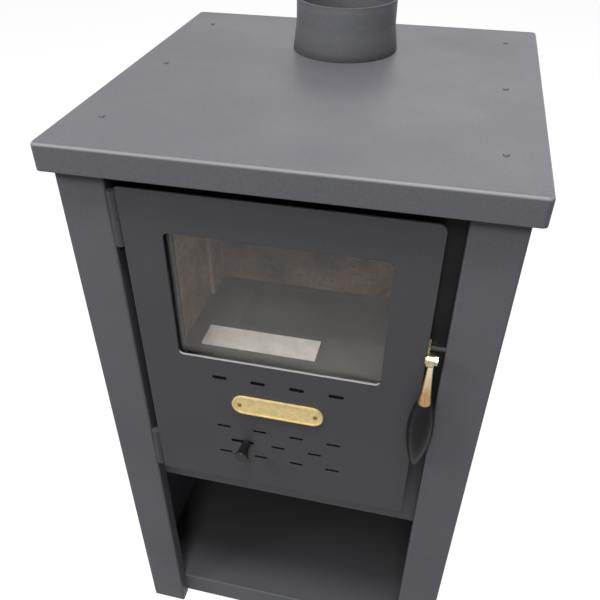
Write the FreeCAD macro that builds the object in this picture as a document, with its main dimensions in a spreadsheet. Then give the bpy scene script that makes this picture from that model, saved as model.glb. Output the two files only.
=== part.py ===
import FreeCAD, Part
import math
import os

import Sketcher
from FreeCAD import Rotation, Vector

# A free-standing steel wood stove. X runs to the right, Y to the rear and Z up from the floor,
# and the origin lies on the floor under the middle of the whole stove. Lengths are millimetres.

SIZES = {
    # Whole stove, without its top plate in width and depth
    "stove_height": 778.0,
    "body_width": 434.0,
    "body_depth": 437.0,
    # Folded top plate, by how far it stands out over the body
    "front_inset": 14.0,
    "top_side_overhang": 10.0,
    "top_rear_overhang": 10.0,
    "top_edge": 27.0,
    "top_sheet": 3.0,
    "top_corner": 6.0,
    "top_bend": 3.5,
    # Rivets of the top plate, and the rails under it
    "rivet_inset": 26.0,
    "rivet_setback": 72.0,
    "rivet_rear_setback": 59.0,
    "rivet_head_radius": 3.0,
    "rivet_head_height": 1.4,
    "rivet_shank_radius": 1.6,
    "rivet_fit": 0.05,
    "rivet_tail": 2.5,
    "rail_width": 33.0,
    "rail_drop": 20.0,
    # Flue collar
    "flue_rear_setback": 119.0,
    "flue_base_radius": 62.2,
    "flue_radius": 58.5,
    "flue_height": 57.0,
    "flue_straight": 27.0,
    "flue_wall": 2.0,
    # Side and rear panels
    "body_sheet": 2.0,
    "bend_radius": 2.5,
    "flange_width": 50.0,
    "return_depth": 18.0,
    "rear_flange": 22.0,
    "rear_clearance": 5.0,
    # Wood store
    "tray_height": 45.0,
    "tray_lip": 40.0,
    "shield_gap": 57.5,
    # Front plate with the fire mouth and the ash mouth
    "front_sheet": 3.0,
    "mouth_margin": 54.0,
    "mouth_height": 185.0,
    "sill_rise": 55.0,
    "mouth_corner": 6.0,
    "ash_mouth_height": 82.0,
    "ash_mouth_lip": 1.5,
    # Firebox
    "wall_gap": 33.5,
    "flue_space": 147.0,
    "smoke_space": 115.0,
    "ash_space": 94.0,
    "firebox_sheet": 2.5,
    "hearth_thickness": 6.0,
    "hearth_rail_width": 18.0,
    "hearth_rail_drop": 20.0,
    "liner_thickness": 22.0,
    "liner_height": 197.0,
    "corner_depth": 47.0,
    "corner_step": 5.0,
    "baffle_throat": 92.0,
    "baffle_thickness": 6.0,
    "baffle_play": 1.0,
    # Lift-out plate of the hearth, pale tile and ash pan
    "insert_margin": 59.0,
    "insert_depth": 92.0,
    "insert_thickness": 4.0,
    "insert_ledge": 8.0,
    "insert_play": 0.4,
    "insert_rear_gap": 13.0,
    "tile_width": 150.0,
    "tile_depth": 37.0,
    "tile_thickness": 3.0,
    "tile_gap": 24.0,
    "tile_setback": 88.0,
    "pan_side_play": 7.0,
    "pan_rear_play": 17.0,
    "pan_height": 58.0,
    "pan_sheet": 1.5,
    "pan_corner": 8.0,
    "pan_setback": 12.0,
    # Door plate, window and air slots
    "hinge_gap": 10.0,
    "latch_gap": 17.0,
    "door_drop": 42.0,
    "door_height": 398.0,
    "door_sheet": 3.0,
    "door_corner": 8.0,
    "door_hinge_corner": 2.0,
    "window_margin": 42.0,
    "window_height": 153.0,
    "window_drop": 43.4,
    "window_corner": 6.0,
    "slot_pitch_share": 0.14365,
    "upper_slot_drop": 222.8,
    "upper_slot_length": 17.0,
    "upper_slot_width": 5.0,
    "lower_slot_drop": 300.4,
    "slot_row_pitch": 22.35,
    "slot_length": 16.5,
    "slot_width": 3.4,
    "stem_slot_length": 28.6,
    "stem_slot_width": 5.0,
    # Hinges
    "hinge_stand": 2.5,
    "knuckle_radius": 4.75,
    "knuckle_tab": 4.0,
    "hinge_length": 60.0,
    "hinge_split": 0.4,
    "hinge_margin": 5.0,
    "pin_radius": 2.5,
    "pin_fit": 0.05,
    "pin_reach": 22.0,
    # Rope seal in its channel
    "seal_inset": 7.0,
    "channel_width": 14.0,
    "channel_height": 10.0,
    "channel_sheet": 1.5,
    "channel_corner": 9.0,
    "rope_play": 0.1,
    "rope_gap": 0.4,
    # Glass with its gasket and clips
    "glass_lap": 11.0,
    "glass_thickness": 4.0,
    "gasket_width": 9.0,
    "gasket_thickness": 2.0,
    "clip_width": 18.0,
    "clip_sheet": 1.5,
    "clip_foot": 7.0,
    "clip_lip": 7.0,
    "clip_play": 0.5,
    "clip_margin": 30.0,
    "screw_radius": 1.9,
    "screw_head_radius": 3.2,
    "screw_head_height": 2.4,
    "screw_fit": 0.1,
    # Air slide, its guides, stem and knob
    "slide_sheet": 1.5,
    "slide_play": 0.3,
    "slide_height": 60.0,
    "slide_margin": 14.0,
    "slide_shift": 5.5,
    "guide_foot": 7.0,
    "guide_lip": 4.0,
    "guide_sheet": 1.5,
    "guide_gap": 24.1,
    "stem_radius": 2.2,
    "stem_offset": 5.3,
    "stem_head_radius": 4.2,
    "stem_head_height": 1.2,
    "stem_fit": 0.05,
    "stem_bite": 12.0,
    "knob_gap": 1.5,
    "knob_length": 25.0,
    "knob_neck_radius": 5.2,
    "knob_base_radius": 5.6,
    "knob_base_length": 4.0,
    "knob_end_radius": 9.0,
    "knob_rim": 3.0,
    # Brass plate
    "plate_width": 106.0,
    "plate_height": 26.0,
    "plate_thickness": 3.0,
    "plate_drop": 258.0,
    "plate_rim": 2.0,
    "plate_recess": 0.8,
    "plate_rivet_pitch": 88.0,
    "plate_rivet_radius": 2.6,
    "plate_rivet_height": 1.2,
    # Handle and latch
    "handle_drop": 138.0,
    "handle_standoff": 14.5,
    "bracket_sheet": 2.0,
    "bracket_height": 24.0,
    "eye_radius": 7.0,
    "bolt_radius": 3.0,
    "bolt_fit": 0.05,
    "bolt_head_radius": 4.6,
    "bolt_head_height": 1.6,
    "lever_play": 0.3,
    "lever_thickness": 5.0,
    "nut_radius": 5.0,
    "nut_thickness": 3.0,
    "bolt_end": 0.4,
    "keeper_radius": 2.5,
    "keeper_setback": 4.0,
    "keeper_rise": 0.0,
    "latch_play": 0.5,
    "hook_thickness": 5.0,
    "hook_cover": 1.5,
    "tang_radius": 2.0,
    "tang_fit": 0.05,
    "tang_end": 8.0,
    "ferrule_length": 50.0,
    "ferrule_neck_radius": 2.9,
    "ferrule_rim_radius": 6.9,
    "grip_length": 90.0,
    "grip_radius": 13.8,
    "grip_top_radius": 7.9,
    "grip_tip_radius": 4.5,
    "grip_swell": 36.0,
}

SLOTS_IN_ROW = 4
RIVETS_IN_ROW = 3
FULL_TURN = 360.0
NEAR = 0.001
CROWN_SHARE = 0.9

doc = FreeCAD.newDocument("stove")
pieces = []


class Size:
    """A length that keeps the sheet formula it comes from, so that sums of lengths stay linked."""

    def __init__(self, number, formula):
        self.number = number
        self.formula = formula

    def joined(self, sign, other, number):
        return Size(number, f"({self.formula} {sign} {other.formula})")

    def __add__(self, other):
        return self.joined("+", other, self.number + other.number)

    def __sub__(self, other):
        return self.joined("-", other, self.number - other.number)

    def __mul__(self, count):
        other = as_size(count)
        return self.joined("*", other, self.number * other.number)

    def __truediv__(self, count):
        other = as_size(count)
        return self.joined("/", other, self.number / other.number)

    def __neg__(self):
        return Size(-self.number, f"(0 - {self.formula})")


def as_size(count):
    """Lets a plain count take part in a sum of lengths."""
    return count if isinstance(count, Size) else Size(float(count), repr(float(count)))


ZERO = as_size(0)


class Book:
    """A sheet of the document whose cells are read by name."""

    def __init__(self, name):
        self.sheet = doc.addObject("Spreadsheet::Sheet", name)
        self.rows = 0

    def write(self, alias, text, number):
        self.rows += 1
        self.sheet.set(f"A{self.rows}", alias)
        self.sheet.set(f"B{self.rows}", text)
        self.sheet.setAlias(f"B{self.rows}", alias)
        setattr(self, alias, Size(number, f"{self.sheet.Name}.{alias}"))


dim = Book("sizes")
for size_name, size_value in SIZES.items():
    dim.write(size_name, str(size_value), size_value)
doc.recompute()

at = Book("places")


def name_place(alias, size):
    """Keeps a place that several pieces share as a cell of its own."""
    at.write(alias, f"={size.formula}", size.number)


# Depths, from the front edge of the top plate to the rear
name_place("top_depth", dim.front_inset + dim.body_depth + dim.top_rear_overhang)
name_place("front_reach", dim.handle_standoff + dim.grip_radius - dim.front_inset)
name_place("top_front_y", (at.front_reach - at.top_depth) / 2)
name_place("face_y", at.top_front_y + dim.front_inset)
name_place("plate_y", at.face_y + dim.return_depth)
name_place("chamber_y", at.plate_y + dim.front_sheet)
name_place("rear_y", at.face_y + dim.body_depth)
name_place("rear_panel_y", at.rear_y - dim.body_sheet * 2)
name_place("back_y", at.rear_panel_y - dim.flue_space)
name_place("rear_liner_y", at.back_y - dim.liner_thickness)
name_place("chamber_depth", at.rear_liner_y - at.chamber_y)
name_place("flue_setback", at.top_depth - dim.flue_rear_setback)
name_place("flue_y", at.top_front_y + at.flue_setback)
name_place("door_back_y", at.face_y + dim.door_sheet)
# Widths, from the middle plane to the right
name_place("top_width", dim.body_width + dim.top_side_overhang * 2)
name_place("panel_x", dim.body_width / 2 - dim.body_sheet)
name_place("rivet_x", at.panel_x - dim.rivet_inset)
name_place("opening_x", dim.body_width / 2 - dim.flange_width)
name_place("wall_outer_x", at.panel_x - dim.wall_gap)
name_place("wall_x", at.wall_outer_x - dim.firebox_sheet)
name_place("chamber_x", at.wall_x - dim.liner_thickness)
name_place("mouth_x", at.opening_x - dim.mouth_margin)
name_place("door_left_x", dim.hinge_gap - at.opening_x)
name_place("door_right_x", at.opening_x - dim.latch_gap)
name_place("door_width", at.door_right_x - at.door_left_x)
name_place("door_x", (at.door_left_x + at.door_right_x) / 2)
name_place("window_width", at.door_width - dim.window_margin * 2)
name_place("slot_pitch", at.door_width * dim.slot_pitch_share)
name_place("lever_x", at.door_right_x + dim.bracket_sheet + dim.lever_play)
name_place("handle_x", at.lever_x + dim.lever_thickness / 2)
# Heights above the floor, down from the top plate, so that the wood store takes up a change of height
name_place("under_top_z", dim.stove_height - dim.top_sheet)
name_place("liner_top_z", at.under_top_z - dim.smoke_space)
name_place("hearth_z", at.liner_top_z - dim.liner_height)
name_place("mouth_sill_z", at.hearth_z + dim.sill_rise)
name_place("firebox_z", at.hearth_z - dim.hearth_thickness - dim.ash_space)
name_place("store_ceiling_z", at.firebox_z - dim.firebox_sheet - dim.shield_gap - dim.body_sheet)
name_place("door_top_z", dim.stove_height - dim.door_drop)
name_place("door_bottom_z", at.door_top_z - dim.door_height)
name_place("window_top_z", at.door_top_z - dim.window_drop)
name_place("window_bottom_z", at.window_top_z - dim.window_height)
name_place("lower_row_z", at.door_top_z - dim.lower_slot_drop)
name_place("stem_row_z", at.lower_row_z - dim.slot_row_pitch)
name_place("pivot_z", at.door_top_z - dim.handle_drop)
name_place("pivot_y", at.face_y - dim.handle_standoff)
name_place("keeper_z", at.pivot_z + dim.keeper_rise)
# Rivets, and the lift-out plate's place behind the firebox front
name_place("rivet_pitch", (at.top_depth - dim.rivet_setback - dim.rivet_rear_setback) / (RIVETS_IN_ROW - 1))
name_place("insert_x", at.chamber_x - dim.insert_margin)
name_place("insert_setback", at.chamber_depth - dim.insert_rear_gap - dim.insert_depth)
# Places on the door's back
name_place("glass_y", at.door_back_y + dim.gasket_thickness)
name_place("glass_back_y", at.glass_y + dim.glass_thickness)
name_place("slide_y", at.door_back_y + dim.slide_play)
name_place("stem_slot_x", at.door_x - at.slot_pitch)
name_place("stem_x", at.stem_slot_x + dim.stem_offset)
name_place("slide_top_z", at.stem_row_z + dim.slide_height / 2)
name_place("slide_bottom_z", at.stem_row_z - dim.slide_height / 2)
name_place("hinge_x", dim.hinge_gap / 2 - at.opening_x)
name_place("hinge_y", at.face_y + dim.hinge_stand)
doc.recompute()


# Shared ways of drawing and shaping


def new_body(label, x=ZERO, y=ZERO, z=ZERO):
    """Starts a sub-part at its place in the stove."""
    body = doc.addObject("PartDesign::Body", label)
    keep(body, label, x, y, z)
    return body


def keep(piece, label, x, y, z):
    """Names a finished sub-part and ties its place to the sheets."""
    piece.Label = label
    place(piece, x, y, z)
    pieces.append(piece)


def place(piece, x, y, z):
    for axis, size in zip("xyz", (x, y, z)):
        piece.setExpression(f"Placement.Base.{axis}", size.formula)


def sketch_on(body, role, lift=ZERO):
    """Opens a sketch on one of the body's own planes, lifted along that plane's normal."""
    plane = next(feature for feature in body.Origin.OriginFeatures if feature.Role == role)
    sketch = body.newObject("Sketcher::SketchObject", "sketch")
    sketch.AttachmentSupport = [(plane, "")]
    sketch.MapMode = "FlatFace"
    sketch.setExpression("AttachmentOffset.Base.z", lift.formula)
    return sketch


def fix(sketch, kind, size, *targets):
    """Adds a dimension to a sketch and ties it to the sheets."""
    index = sketch.addConstraint(Sketcher.Constraint(kind, *targets, size.number))
    sketch.setExpression(f"Constraints[{index}]", size.formula)


def fix_point(sketch, element, end, x, y):
    fix(sketch, "DistanceX", x, -1, 1, element, end)
    fix(sketch, "DistanceY", y, -1, 1, element, end)


def arc_between(start, finish, radius, turn):
    """The short arc from start to finish, whose centre is on the left (1) or on the right (-1)."""
    chord = finish - start
    middle = (start + finish) / 2
    across = Vector(-chord.y, chord.x, 0).normalize()
    depth = math.sqrt(max(radius * radius - chord.Length * chord.Length / 4, 0))
    centre = middle + across * (depth * turn)
    first, last = (start, finish) if turn > 0 else (finish, start)
    angles = [math.atan2(point.y - centre.y, point.x - centre.x) for point in (first, last)]
    return Part.ArcOfCircle(Part.Circle(centre, Vector(0, 0, 1), radius), *angles)


def outline(sketch, points, arcs=None):
    """Draws a closed outline. arcs gives the radius and the turn of the sides that are round."""
    arcs = arcs or {}
    corners = [Vector(x.number, y.number, 0) for x, y in points]
    sides = []
    for i, start in enumerate(corners):
        finish = corners[(i + 1) % len(corners)]
        if i in arcs:
            radius, turn = arcs[i]
            shape = arc_between(start, finish, radius.number, turn)
            ends = (1, 2) if turn > 0 else (2, 1)
        else:
            shape = Part.LineSegment(start, finish)
            ends = (1, 2)
        sides.append((sketch.addGeometry(shape), *ends))
    for i, (element, begin, end) in enumerate(sides):
        follower, follower_begin, _ = sides[(i + 1) % len(sides)]
        sketch.addConstraint(Sketcher.Constraint("Coincident", element, end, follower, follower_begin))
        fix_point(sketch, element, begin, *points[i])
    for i, (radius, _) in arcs.items():
        fix(sketch, "Radius", radius, sides[i][0])


def rectangle(sketch, left, bottom, right, top):
    outline(sketch, [(left, bottom), (right, bottom), (right, top), (left, top)])


def round_rectangle(sketch, left, bottom, right, top, radius):
    """A rectangle with the same radius at its four corners."""
    corner_rectangle(sketch, left, bottom, right, top, (radius, radius, radius, radius))


def corner_rectangle(sketch, left, bottom, right, top, radii):
    """A rectangle whose corners have their own radii, from lower left, counter-clockwise."""
    low_left, low_right, high_right, high_left = radii
    points = [
        (left + low_left, bottom), (right - low_right, bottom),
        (right, bottom + low_right), (right, top - high_right),
        (right - high_right, top), (left + high_left, top),
        (left, top - high_left), (left, bottom + low_left),
    ]
    outline(sketch, points, {1: (low_right, 1), 3: (high_right, 1), 5: (high_left, 1), 7: (low_left, 1)})


def circle(sketch, x, y, radius):
    element = sketch.addGeometry(Part.Circle(Vector(x.number, y.number, 0), Vector(0, 0, 1), radius.number))
    fix_point(sketch, element, 3, x, y)
    fix(sketch, "Radius", radius, element)


def slot(sketch, x, y, length, width):
    """A straight slot along the sketch's first axis, with round ends."""
    radius = width / 2
    reach = (length - width) / 2
    left, right = (Vector(place_x.number, y.number, 0) for place_x in (x - reach, x + reach))
    rise = Vector(0, radius.number, 0)
    normal = Vector(0, 0, 1)
    low = sketch.addGeometry(Part.LineSegment(left - rise, right - rise))
    quarter = math.pi / 2
    end = sketch.addGeometry(Part.ArcOfCircle(Part.Circle(right, normal, radius.number), -quarter, quarter))
    high = sketch.addGeometry(Part.LineSegment(right + rise, left + rise))
    start = sketch.addGeometry(
        Part.ArcOfCircle(Part.Circle(left, normal, radius.number), quarter, 3 * quarter))
    for first, second in ((low, end), (end, high), (high, start), (start, low)):
        sketch.addConstraint(Sketcher.Constraint("Tangent", first, 2, second, 1))
    sketch.addConstraint(Sketcher.Constraint("Equal", start, end))
    sketch.addConstraint(Sketcher.Constraint("Horizontal", low))
    fix_point(sketch, start, 3, x - reach, y)
    fix(sketch, "DistanceX", reach * 2, start, 3, end, 3)
    fix(sketch, "Radius", radius, end)


def pad(body, sketch, length, reverse=False):
    feature = body.newObject("PartDesign::Pad", "pad")
    feature.Profile = sketch
    feature.setExpression("Length", length.formula)
    feature.Reversed = reverse
    return feature


def cut_through(body, sketch):
    """Cuts a sketch right through the body, both ways from its plane."""
    feature = body.newObject("PartDesign::Pocket", "cut")
    feature.Profile = sketch
    feature.Type = "ThroughAll"
    feature.SideType = "Symmetric"
    return feature


def cut_deep(body, sketch, depth, reverse=False):
    feature = body.newObject("PartDesign::Pocket", "recess")
    feature.Profile = sketch
    feature.setExpression("Length", depth.formula)
    feature.Reversed = reverse
    return feature


def revolve(body, sketch, axis):
    feature = body.newObject("PartDesign::Revolution", "turning")
    feature.Profile = sketch
    feature.ReferenceAxis = (sketch, [axis])
    feature.Angle = FULL_TURN
    return feature


def repeat(body, feature, sketch, axis, pitch, count):
    """Repeats a feature along a sketch axis and makes the pattern the body's result."""
    pattern = body.newObject("PartDesign::LinearPattern", "row")
    pattern.Originals = [feature]
    pattern.Direction = (sketch, [axis])
    pattern.setExpression("Length", (pitch * (count - 1)).formula)
    pattern.Occurrences = count
    body.Tip = pattern
    return pattern


def fillet(body, base, radius, chosen):
    """Rounds the edges of a feature for which chosen(edge) is true."""
    doc.recompute()
    names = [f"Edge{i + 1}" for i, edge in enumerate(base.Shape.Edges) if chosen(edge)]
    feature = body.newObject("PartDesign::Fillet", "rounding")
    feature.Base = (base, names)
    feature.setExpression("Radius", radius.formula)
    return feature


def hollow(body, base, wall, open_side):
    """Leaves a shell of the wall's thickness, open at the face for which open_side(face) is true."""
    doc.recompute()
    names = [f"Face{i + 1}" for i, face in enumerate(base.Shape.Faces) if open_side(face)]
    feature = body.newObject("PartDesign::Thickness", "shell")
    feature.Base = (base, names)
    feature.setExpression("Value", wall.formula)
    feature.Reversed = True
    return feature


def block(label, x, y, z, width, depth, height):
    """A plain rectangular plate or tile."""
    piece = doc.addObject("Part::Box", label)
    for side, size in (("Length", width), ("Width", depth), ("Height", height)):
        piece.setExpression(side, size.formula)
    keep(piece, label, x, y, z)
    return piece


# Outer shell of the stove


def top_plate():
    """Folded pan with the flue hole and the rivet holes. Its local origin is its front middle, on top."""
    body = new_body("top_plate", ZERO, at.top_front_y, dim.stove_height)
    plan = sketch_on(body, "XY_Plane")
    round_rectangle(plan, -at.top_width / 2, ZERO, at.top_width / 2, at.top_depth, dim.top_corner)
    slab = pad(body, plan, dim.top_edge, reverse=True)
    bent = fillet(body, slab, dim.top_bend, lambda edge: all(abs(v.Z) < NEAR for v in edge.Vertexes))
    hollow(body, bent, dim.top_sheet, lambda face: face.CenterOfMass.z < NEAR - dim.top_edge.number)
    holes = sketch_on(body, "XY_Plane")
    circle(holes, ZERO, at.flue_setback, dim.flue_radius - dim.flue_wall)
    for x, y in rivet_places():
        circle(holes, x, y, dim.rivet_shank_radius + dim.rivet_fit)
    cut_through(body, holes)


def rivet_places():
    """Rivet centres, measured from the front middle of the top plate."""
    for side in (-1, 1):
        for i in range(RIVETS_IN_ROW):
            yield at.rivet_x * side, dim.rivet_setback + at.rivet_pitch * i


def top_rivets():
    """Domed rivets that hold the top plate to the rails under it."""
    body = new_body("top_rivets", ZERO, at.top_front_y, dim.stove_height)
    heads = sketch_on(body, "XY_Plane")
    shanks = sketch_on(body, "XY_Plane")
    for x, y in rivet_places():
        circle(heads, x, y, dim.rivet_head_radius)
        circle(shanks, x, y, dim.rivet_shank_radius)
    head = pad(body, heads, dim.rivet_head_height)
    crown = dim.rivet_head_height.number
    fillet(body, head, dim.rivet_head_height * CROWN_SHARE,
           lambda edge: all(v.Z > crown - NEAR for v in edge.Vertexes))
    pad(body, shanks, dim.top_sheet + dim.body_sheet + dim.rivet_tail, reverse=True)


def top_rail(label, side):
    """Angle under the top plate, against the side panel."""
    body = new_body(label, at.panel_x * side, at.plate_y + dim.front_sheet, at.under_top_z)
    section = sketch_on(body, "XZ_Plane")
    inward = -side
    outline(section, [
        (ZERO, ZERO), (dim.rail_width * inward, ZERO), (dim.rail_width * inward, -dim.body_sheet),
        (dim.body_sheet * inward, -dim.body_sheet), (dim.body_sheet * inward, -dim.rail_drop),
        (ZERO, -dim.rail_drop)])
    pad(body, section, at.rear_panel_y - at.chamber_y, reverse=True)
    holes = sketch_on(body, "XY_Plane")
    for i in range(RIVETS_IN_ROW):
        x = (at.rivet_x - at.panel_x) * side
        y = at.top_front_y + dim.rivet_setback + at.rivet_pitch * i - at.chamber_y
        circle(holes, x, y, dim.rivet_shank_radius + dim.rivet_fit)
    cut_through(body, holes)


def flue_collar():
    """Tapered foot and straight spigot, turned about the flue's axis."""
    body = new_body("flue_collar", ZERO, at.flue_y, dim.stove_height)
    section = sketch_on(body, "XZ_Plane")
    shoulder = dim.flue_height - dim.flue_straight
    outline(section, [
        (dim.flue_base_radius - dim.flue_wall, ZERO), (dim.flue_base_radius, ZERO),
        (dim.flue_radius, shoulder), (dim.flue_radius, dim.flue_height),
        (dim.flue_radius - dim.flue_wall, dim.flue_height), (dim.flue_radius - dim.flue_wall, shoulder)])
    revolve(body, section, "V_Axis")


def side_panel(label, side):
    """One sheet, folded to the front flange with its return and to the rear flange."""
    body = new_body(label, dim.body_width / 2 * side, at.face_y)
    plan = sketch_on(body, "XY_Plane")
    sheet = dim.body_sheet * -side
    flange = dim.flange_width * -side
    rear = dim.rear_flange * -side
    outline(plan, [
        (ZERO, ZERO), (flange, ZERO), (flange, dim.return_depth), (flange - sheet, dim.return_depth),
        (flange - sheet, dim.body_sheet), (sheet, dim.body_sheet), (sheet, dim.body_depth - dim.body_sheet),
        (rear, dim.body_depth - dim.body_sheet), (rear, dim.body_depth), (ZERO, dim.body_depth)])
    folded = pad(body, plan, at.under_top_z)
    bends = [Vector(0, 0, 0), Vector(flange.number, 0, 0), Vector(0, dim.body_depth.number, 0)]
    fillet(body, folded, dim.bend_radius, lambda edge: runs_through(edge, Vector(0, 0, 1), bends))


def runs_through(edge, direction, spots):
    """Whether a straight edge has the direction and lies on the line through one of the spots."""
    ends = [vertex.Point for vertex in edge.Vertexes]
    return any(all((end - spot).cross(direction).Length < NEAR for end in ends) for spot in spots)


def rear_panel():
    """Flat sheet between the rear flanges, from just above the floor to the top plate."""
    block("rear_panel", -at.panel_x, at.rear_panel_y, dim.rear_clearance,
          at.panel_x * 2, dim.body_sheet, at.under_top_z - dim.rear_clearance)


def front_plate():
    """Firebox front with the fire mouth above and the ash mouth below."""
    body = new_body("front_plate", ZERO, at.plate_y)
    face = sketch_on(body, "XZ_Plane")
    rectangle(face, -at.wall_outer_x, at.store_ceiling_z, at.wall_outer_x, at.under_top_z)
    pad(body, face, dim.front_sheet, reverse=True)
    mouths = sketch_on(body, "XZ_Plane")
    half = at.mouth_x
    ash_sill = at.firebox_z + dim.ash_mouth_lip
    mouth_top = at.mouth_sill_z + dim.mouth_height
    round_rectangle(mouths, -half, at.mouth_sill_z, half, mouth_top, dim.mouth_corner)
    round_rectangle(mouths, -half, ash_sill, half, ash_sill + dim.ash_mouth_height, dim.mouth_corner)
    cut_through(body, mouths)


def base_tray():
    """Floor of the wood store: a sheet with a lip folded down at the front and at the rear."""
    body = new_body("base_tray", -at.panel_x, at.plate_y, dim.tray_height)
    section = sketch_on(body, "YZ_Plane")
    depth = at.rear_panel_y - at.plate_y
    outline(section, [
        (ZERO, ZERO), (ZERO, -dim.tray_lip), (dim.body_sheet, -dim.tray_lip),
        (dim.body_sheet, -dim.body_sheet), (depth - dim.body_sheet, -dim.body_sheet),
        (depth - dim.body_sheet, -dim.tray_lip), (depth, -dim.tray_lip), (depth, ZERO)])
    folded = pad(body, section, at.panel_x * 2)
    bends = [Vector(0, 0, 0), Vector(0, depth.number, 0)]
    fillet(body, folded, dim.bend_radius, lambda edge: runs_through(edge, Vector(1, 0, 0), bends))


def store_ceiling():
    """Sheet over the wood store, below the firebox."""
    block("store_ceiling", -at.panel_x, at.chamber_y, at.store_ceiling_z,
          at.panel_x * 2, at.rear_panel_y - at.chamber_y, dim.body_sheet)


# Firebox


def firebox_bottom():
    block("firebox_bottom", -at.wall_outer_x, at.chamber_y, at.firebox_z - dim.firebox_sheet,
          at.wall_outer_x * 2, at.rear_panel_y - at.chamber_y, dim.firebox_sheet)


def firebox_wall(label, side):
    left = at.wall_x if side > 0 else -at.wall_outer_x
    block(label, left, at.chamber_y, at.firebox_z,
          dim.firebox_sheet, at.rear_panel_y - at.chamber_y, at.under_top_z - at.firebox_z)


def firebox_back():
    """Upright behind the rear liner, folded back to a smoke shelf under the flue."""
    body = new_body("firebox_back", -at.wall_x, at.back_y, at.firebox_z)
    section = sketch_on(body, "YZ_Plane")
    rise = at.liner_top_z - at.firebox_z
    depth = at.rear_panel_y - at.back_y
    outline(section, [
        (ZERO, ZERO), (dim.firebox_sheet, ZERO), (dim.firebox_sheet, rise - dim.firebox_sheet),
        (depth, rise - dim.firebox_sheet), (depth, rise), (ZERO, rise)])
    pad(body, section, at.wall_x * 2)


def hearth_rail(label, side):
    """Angle on the firebox wall that carries the hearth plate."""
    body = new_body(label, at.wall_x * side, at.chamber_y, at.hearth_z - dim.hearth_thickness)
    section = sketch_on(body, "XZ_Plane")
    width = dim.hearth_rail_width * -side
    sheet = dim.firebox_sheet * -side
    outline(section, [
        (ZERO, ZERO), (width, ZERO), (width, -dim.firebox_sheet), (sheet, -dim.firebox_sheet),
        (sheet, -dim.hearth_rail_drop), (ZERO, -dim.hearth_rail_drop)])
    pad(body, section, at.back_y - at.chamber_y, reverse=True)


def hearth_plate():
    """Floor of the fire, with a stepped opening over the ash pan."""
    body = new_body("hearth_plate", ZERO, at.chamber_y, at.hearth_z)
    plan = sketch_on(body, "XY_Plane")
    rectangle(plan, -at.wall_x, ZERO, at.wall_x, at.back_y - at.chamber_y)
    pad(body, plan, dim.hearth_thickness, reverse=True)
    seat = sketch_on(body, "XY_Plane")
    rear = at.insert_setback + dim.insert_depth
    rectangle(seat, -at.insert_x, at.insert_setback, at.insert_x, rear)
    cut_deep(body, seat, dim.insert_thickness)
    drop = sketch_on(body, "XY_Plane")
    rectangle(drop, dim.insert_ledge - at.insert_x, at.insert_setback + dim.insert_ledge,
              at.insert_x - dim.insert_ledge, rear - dim.insert_ledge)
    cut_through(body, drop)


def hearth_insert():
    """Plain plate flush in the hearth and lifted out to brush the ash into the pan."""
    body = new_body("hearth_insert", ZERO, at.chamber_y + at.insert_setback, at.hearth_z)
    plan = sketch_on(body, "XY_Plane")
    half = at.insert_x - dim.insert_play
    rectangle(plan, -half, dim.insert_play, half, dim.insert_depth - dim.insert_play)
    pad(body, plan, dim.insert_thickness, reverse=True)


def hearth_tile():
    """Pale tile that lies on the hearth behind the mouth."""
    block("hearth_tile", dim.tile_gap - at.chamber_x, at.chamber_y + dim.tile_setback, at.hearth_z,
          dim.tile_width, dim.tile_depth, dim.tile_thickness)


def side_liner(label, side):
    left = at.chamber_x if side > 0 else -at.wall_x
    block(label, left, at.chamber_y, at.hearth_z,
          dim.liner_thickness, at.chamber_depth - dim.corner_depth, dim.liner_height)


def corner_liner(label, side):
    """Thicker tile in the rear corner, with its front edge standing out from the side liner."""
    left = at.chamber_x - dim.corner_step if side > 0 else -at.wall_x
    block(label, left, at.rear_liner_y - dim.corner_depth, at.hearth_z,
          dim.liner_thickness + dim.corner_step, dim.corner_depth, dim.liner_height)


def rear_liner():
    block("rear_liner", -at.wall_x, at.rear_liner_y, at.hearth_z,
          at.wall_x * 2, dim.liner_thickness, dim.liner_height)


def baffle():
    """Plate on top of the liners that sends the smoke forward before it reaches the flue."""
    front = at.chamber_y + dim.baffle_throat
    block("baffle", dim.baffle_play - at.wall_x, front, at.liner_top_z,
          (at.wall_x - dim.baffle_play) * 2, at.back_y - dim.baffle_play - front, dim.baffle_thickness)


def ash_pan():
    """Folded pan under the hearth, which draws out through the ash mouth."""
    body = new_body("ash_pan", ZERO, at.chamber_y + dim.pan_setback, at.firebox_z)
    plan = sketch_on(body, "XY_Plane")
    half = at.mouth_x - dim.pan_side_play
    depth = at.back_y - at.chamber_y - dim.pan_setback - dim.pan_rear_play
    round_rectangle(plan, -half, ZERO, half, depth, dim.pan_corner)
    solid = pad(body, plan, dim.pan_height)
    hollow(body, solid, dim.pan_sheet, lambda face: face.CenterOfMass.z > dim.pan_height.number - NEAR)


# Hinges


def hinge_bottoms():
    """Lower ends of the two hinges."""
    yield "upper", at.door_top_z - dim.hinge_margin - dim.hinge_length
    yield "lower", at.door_bottom_z + dim.hinge_margin


def knuckle(label, z, side, bore_from_top):
    """Half of a hinge barrel with a flat tab to what it is welded to, and a blind hole for the pin."""
    length = (dim.hinge_length - dim.hinge_split) / 2
    body = new_body(label, at.hinge_x, at.hinge_y, z)
    round_part = sketch_on(body, "XY_Plane")
    circle(round_part, ZERO, ZERO, dim.knuckle_radius)
    pad(body, round_part, length)
    tab = sketch_on(body, "XY_Plane")
    ends = sorted([ZERO, dim.hinge_gap / 2 * side], key=lambda size: size.number)
    rectangle(tab, ends[0], -dim.knuckle_tab / 2, ends[1], dim.knuckle_tab / 2)
    pad(body, tab, length)
    bore = sketch_on(body, "XY_Plane", length if bore_from_top else ZERO)
    circle(bore, ZERO, ZERO, dim.pin_radius + dim.pin_fit)
    cut_deep(body, bore, dim.pin_reach, reverse=not bore_from_top)


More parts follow.
